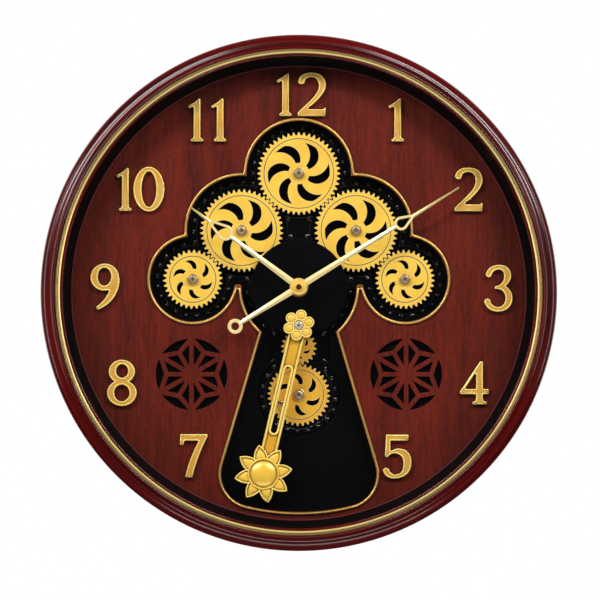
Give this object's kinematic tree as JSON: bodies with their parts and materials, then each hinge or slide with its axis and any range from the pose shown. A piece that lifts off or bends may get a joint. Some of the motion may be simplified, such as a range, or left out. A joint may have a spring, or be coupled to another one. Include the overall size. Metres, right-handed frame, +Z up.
{
  "type": "wall clock",
  "caption": "Round wall clock with a wood-look case, raised numerals, a clover-shaped dial opening with turning gears, and a crank-swung pendulum under the hands.",
  "frame": {"origin": "on the axis of the round case, in the plane of the wall", "axes": "+Z up, +X to the right of a viewer in front, -Y towards the viewer, +Y into the wall"},
  "size_m": [0.3999, 0.0576, 0.4],
  "materials": {
    "case_gloss": "dark mahogany red, glossy moulding",
    "gold_plating": "gold metallic plating on moulded plastic",
    "lens": "clear flat glass",
    "ring_black": "black, half gloss",
    "dial_wood": "printed red-brown wood grain with vertical figure",
    "pan_black": "black moulding, soft sheen",
    "gear_gold": "gold painted moulding",
    "washer_brass": "turned brass",
    "screw_steel": "bright zinc plated",
    "hand_gold": "pale gold anodised",
    "shell_black": "black moulding",
    "motion_white": "white moulding",
    "arbor_brass": "turned brass",
    "coil_copper": "copper winding on a bobbin",
    "battery_skin": "printed sleeve",
    "motor_steel": "pressed steel can",
    "cover_plastic": "dark grey moulding",
    "hanger_steel": "pressed plated steel"
  },
  "bodies": {
    "clock_case": {"case_ring": "case_gloss", "gold_ring": "gold_plating", "front_lens": "lens", "inner_ring": "ring_black", "dial_plate": "dial_wood", "opening_trim": "gold_plating", "left_grille_backing": "pan_black", "right_grille_backing": "pan_black", "gear_pan": "pan_black", "pan_screws": "screw_steel", "centre_disc": "pan_black", "gear_washers": "washer_brass", "gear_screws": "screw_steel", "pivot_screw": "screw_steel", "movement_front": "shell_black", "movement_back": "shell_black", "movement_washer": "arbor_brass", "movement_nut": "arbor_brass", "movement_coil": "coil_copper", "movement_battery": "battery_skin", "drive_battery": "battery_skin", "drive_housing": "shell_black", "drive_cover": "shell_black", "gear_motor": "motor_steel", "drive_screws": "screw_steel", "back_cover": "cover_plastic", "case_screws": "screw_steel", "hanger_plate": "hanger_steel", "hanger_screws": "screw_steel", "numeral_1": "gold_plating", "numeral_2": "gold_plating", "numeral_3": "gold_plating", "numeral_4": "gold_plating", "numeral_5": "gold_plating", "numeral_7": "gold_plating", "numeral_8": "gold_plating", "numeral_9": "gold_plating", "numeral_10": "gold_plating", "numeral_11": "gold_plating", "numeral_12": "gold_plating"},
    "centre_wheel_body": {"centre_wheel": "gear_gold"},
    "left_gear_body": {"left_gear": "gear_gold"},
    "right_gear_body": {"right_gear": "gear_gold"},
    "top_gear_body": {"top_gear": "gear_gold"},
    "left_small_body": {"left_small_gear": "gear_gold"},
    "right_small_body": {"right_small_gear": "gear_gold"},
    "motor_gear_body": {"motor_gear": "gear_gold", "drive_shaft": "screw_steel"},
    "crank_body": {"crank_gear": "gear_gold", "crank_pin": "screw_steel"},
    "minute_body": {"minute_hand": "hand_gold", "minute_arbor": "arbor_brass", "hand_cap_nut": "washer_brass"},
    "hour_body": {"hour_hand": "hand_gold", "hour_tube": "motion_white"},
    "motion_body": {"motion_wheel": "motion_white", "set_knob": "motion_white"},
    "pendulum_body": {"pendulum_arm": "gear_gold", "pendulum_rosette": "gear_gold", "pendulum_sun": "gear_gold"}
  },
  "joints": [
    {"name": "centre_wheel_spin", "type": "hinge", "parent": "clock_case", "child": "centre_wheel_body", "pos_m": [0, -0.03, 0.0039], "axis": [0, -1, 0], "continuous": true},
    {"name": "left_gear_spin", "type": "hinge", "parent": "clock_case", "child": "left_gear_body", "pos_m": [-0.04446, -0.03, 0.04836], "axis": [0, -1, 0], "continuous": true},
    {"name": "right_gear_spin", "type": "hinge", "parent": "clock_case", "child": "right_gear_body", "pos_m": [0.04446, -0.03, 0.04836], "axis": [0, -1, 0], "continuous": true},
    {"name": "top_gear_spin", "type": "hinge", "parent": "clock_case", "child": "top_gear_body", "pos_m": [0, -0.03, 0.09283], "axis": [0, -1, 0], "continuous": true},
    {"name": "left_small_spin", "type": "hinge", "parent": "clock_case", "child": "left_small_body", "pos_m": [-0.08244, -0.03, 0.01038], "axis": [0, -1, 0], "continuous": true},
    {"name": "right_small_spin", "type": "hinge", "parent": "clock_case", "child": "right_small_body", "pos_m": [0.08244, -0.03, 0.01038], "axis": [0, -1, 0], "continuous": true},
    {"name": "motor_gear_spin", "type": "hinge", "parent": "clock_case", "child": "motor_gear_body", "pos_m": [0, -0.03, -0.0426], "axis": [0, -1, 0], "continuous": true},
    {"name": "crank_spin", "type": "hinge", "parent": "clock_case", "child": "crank_body", "pos_m": [0, -0.03, -0.07928], "axis": [0, -1, 0], "continuous": true},
    {"name": "minute_spin", "type": "hinge", "parent": "clock_case", "child": "minute_body", "pos_m": [0, -0.03, 0.0039], "axis": [0, -1, 0], "continuous": true},
    {"name": "hour_spin", "type": "hinge", "parent": "clock_case", "child": "hour_body", "pos_m": [0, -0.03, 0.0039], "axis": [0, -1, 0], "continuous": true},
    {"name": "motion_spin", "type": "hinge", "parent": "clock_case", "child": "motion_body", "pos_m": [-0.01039, -0.03, 0.0099], "axis": [0, -1, 0], "continuous": true},
    {"name": "pendulum_swing", "type": "hinge", "parent": "clock_case", "child": "pendulum_body", "pos_m": [0, -0.03, -0.0255], "axis": [0, -1, 0], "range_deg": [-3.6, 30.4]}
  ],
  "couplings": [
    {"joint": "left_gear_spin", "follows": "centre_wheel_spin", "ratio": -1},
    {"joint": "right_gear_spin", "follows": "centre_wheel_spin", "ratio": -1},
    {"joint": "top_gear_spin", "follows": "centre_wheel_spin", "ratio": 1},
    {"joint": "left_small_spin", "follows": "centre_wheel_spin", "ratio": 1.4118},
    {"joint": "right_small_spin", "follows": "centre_wheel_spin", "ratio": 1.4118},
    {"joint": "motor_gear_spin", "follows": "centre_wheel_spin", "ratio": -2.55},
    {"joint": "crank_spin", "follows": "centre_wheel_spin", "ratio": 1.4167},
    {"joint": "hour_spin", "follows": "minute_spin", "ratio": 0.083333},
    {"joint": "motion_spin", "follows": "minute_spin", "ratio": -0.33333}
  ]
}
